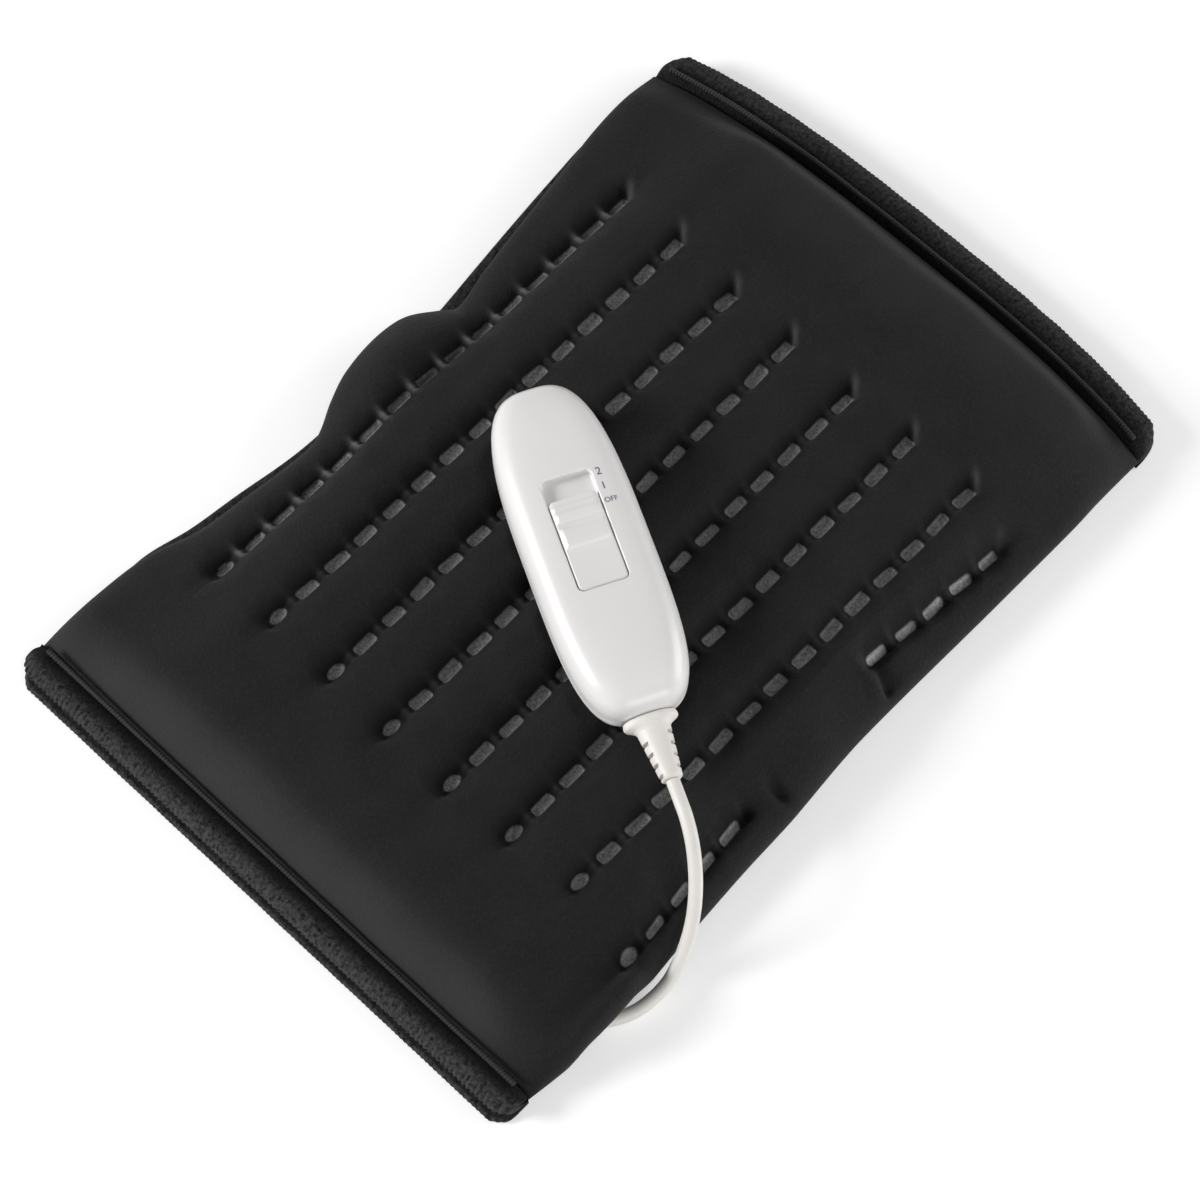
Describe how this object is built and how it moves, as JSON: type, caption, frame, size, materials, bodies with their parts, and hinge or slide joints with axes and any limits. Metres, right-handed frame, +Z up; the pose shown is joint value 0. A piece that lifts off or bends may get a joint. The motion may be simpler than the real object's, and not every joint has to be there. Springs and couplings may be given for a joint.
{
  "type": "heating pad with controller",
  "caption": "Soft quilted heating and massage pad with fleece end bands, a wired hand control with a thumb slide, and its lead folded under the pad.",
  "frame": {"origin": "under the middle of the pad, on the surface it lies on", "axes": "+X along the pad from its pocket end to its plain end, +Y across the pad away from the edge the lead leaves by, +Z up"},
  "size_m": [0.3207, 0.2248, 0.0515],
  "materials": {
    "front_panel": "matt foamed rubber sheet with a fine knit face",
    "back_panel": "brushed fleece",
    "end_band_pocket": "brushed fleece",
    "pocket_lip": "brushed fleece",
    "end_band_plain": "brushed fleece",
    "seam_piping_pocket": "stitched bead",
    "seam_piping_plain": "stitched bead",
    "heater_carrier": "non-woven scrim",
    "heating_wire": "satin insulation",
    "thermal_fuse": "brushed",
    "thermostat": "fine moulded grain",
    "pod_base_pocket": "fine moulded grain",
    "pod_cover_pocket": "fine moulded grain",
    "massage_motor_pocket": "brushed",
    "pod_base_plain": "fine moulded grain",
    "pod_cover_plain": "fine moulded grain",
    "massage_motor_plain": "brushed",
    "junction_box": "fine moulded grain",
    "clamp_plate": "fine moulded grain",
    "junction_screw_1": "brushed",
    "junction_screw_2": "brushed",
    "supply_socket": "fine moulded grain",
    "terminal_block": "moulded",
    "heater_lead_fuse": "satin insulation",
    "heater_lead_thermostat": "satin insulation",
    "motor_lead_pocket": "satin insulation",
    "motor_lead_plain": "satin insulation",
    "handset_top_shell": "satin gloss moulding",
    "handset_base_shell": "satin gloss moulding",
    "handset_screw_1": "brushed",
    "handset_screw_2": "brushed",
    "handset_screw_3": "brushed",
    "switch_base": "fine moulded grain",
    "contact_common": "polished",
    "contact_step_one": "polished",
    "contact_step_two": "polished",
    "circuit_board": "coated laminate",
    "strain_relief": "soft satin sheath",
    "conductor_a": "satin insulation",
    "conductor_b": "satin insulation",
    "conductor_c": "satin insulation",
    "handset_cord_coil": "soft satin sheath",
    "cord_tie": "fine moulded grain",
    "handset_cord": "soft satin sheath",
    "handset_cord_tail": "soft satin sheath",
    "pad_gland": "fine moulded grain",
    "slider_knob": "satin gloss moulding",
    "slider_carriage": "fine moulded grain",
    "contact_bridge": "polished",
    "motor_shaft_pocket": "brushed",
    "eccentric_weight_pocket": "polished",
    "motor_shaft_plain": "brushed",
    "eccentric_weight_plain": "polished"
  },
  "bodies": {
    "pad": {"front_panel": "front_panel", "back_panel": "back_panel", "end_band_pocket": "end_band_pocket", "pocket_lip": "pocket_lip", "end_band_plain": "end_band_plain", "seam_piping_pocket": "seam_piping_pocket", "seam_piping_plain": "seam_piping_plain", "heater_carrier": "heater_carrier", "heating_wire": "heating_wire", "thermal_fuse": "thermal_fuse", "thermostat": "thermostat", "pod_base_pocket": "pod_base_pocket", "pod_cover_pocket": "pod_cover_pocket", "massage_motor_pocket": "massage_motor_pocket", "pod_base_plain": "pod_base_plain", "pod_cover_plain": "pod_cover_plain", "massage_motor_plain": "massage_motor_plain", "junction_box": "junction_box", "clamp_plate": "clamp_plate", "junction_screw_1": "junction_screw_1", "junction_screw_2": "junction_screw_2", "supply_socket": "supply_socket", "terminal_block": "terminal_block", "heater_lead_fuse": "heater_lead_fuse", "heater_lead_thermostat": "heater_lead_thermostat", "motor_lead_pocket": "motor_lead_pocket", "motor_lead_plain": "motor_lead_plain", "handset_top_shell": "handset_top_shell", "handset_base_shell": "handset_base_shell", "handset_screw_1": "handset_screw_1", "handset_screw_2": "handset_screw_2", "handset_screw_3": "handset_screw_3", "switch_base": "switch_base", "contact_common": "contact_common", "contact_step_one": "contact_step_one", "contact_step_two": "contact_step_two", "circuit_board": "circuit_board", "strain_relief": "strain_relief", "conductor_a": "conductor_a", "conductor_b": "conductor_b", "conductor_c": "conductor_c", "handset_cord_coil": "handset_cord_coil", "cord_tie": "cord_tie", "handset_cord": "handset_cord", "handset_cord_tail": "handset_cord_tail", "pad_gland": "pad_gland"},
    "thumb_slide": {"slider_knob": "slider_knob", "slider_carriage": "slider_carriage", "contact_bridge": "contact_bridge"},
    "weight_pocket": {"motor_shaft_pocket": "motor_shaft_pocket", "eccentric_weight_pocket": "eccentric_weight_pocket"},
    "weight_plain": {"motor_shaft_plain": "motor_shaft_plain", "eccentric_weight_plain": "eccentric_weight_plain"}
  },
  "joints": [
    {"name": "slide_switch", "type": "slide", "parent": "pad", "child": "thumb_slide", "axis": [0.4617, 0.887, 0], "range_m": [0, 0.007]},
    {"name": "massage_spin_pocket", "type": "hinge", "parent": "pad", "child": "weight_pocket", "pos_m": [-0.114, 0, 0.0185], "axis": [0, 1, 0], "continuous": true},
    {"name": "massage_spin_plain", "type": "hinge", "parent": "pad", "child": "weight_plain", "pos_m": [0.1125, 0, 0.0185], "axis": [0, 1, 0], "continuous": true}
  ]
}
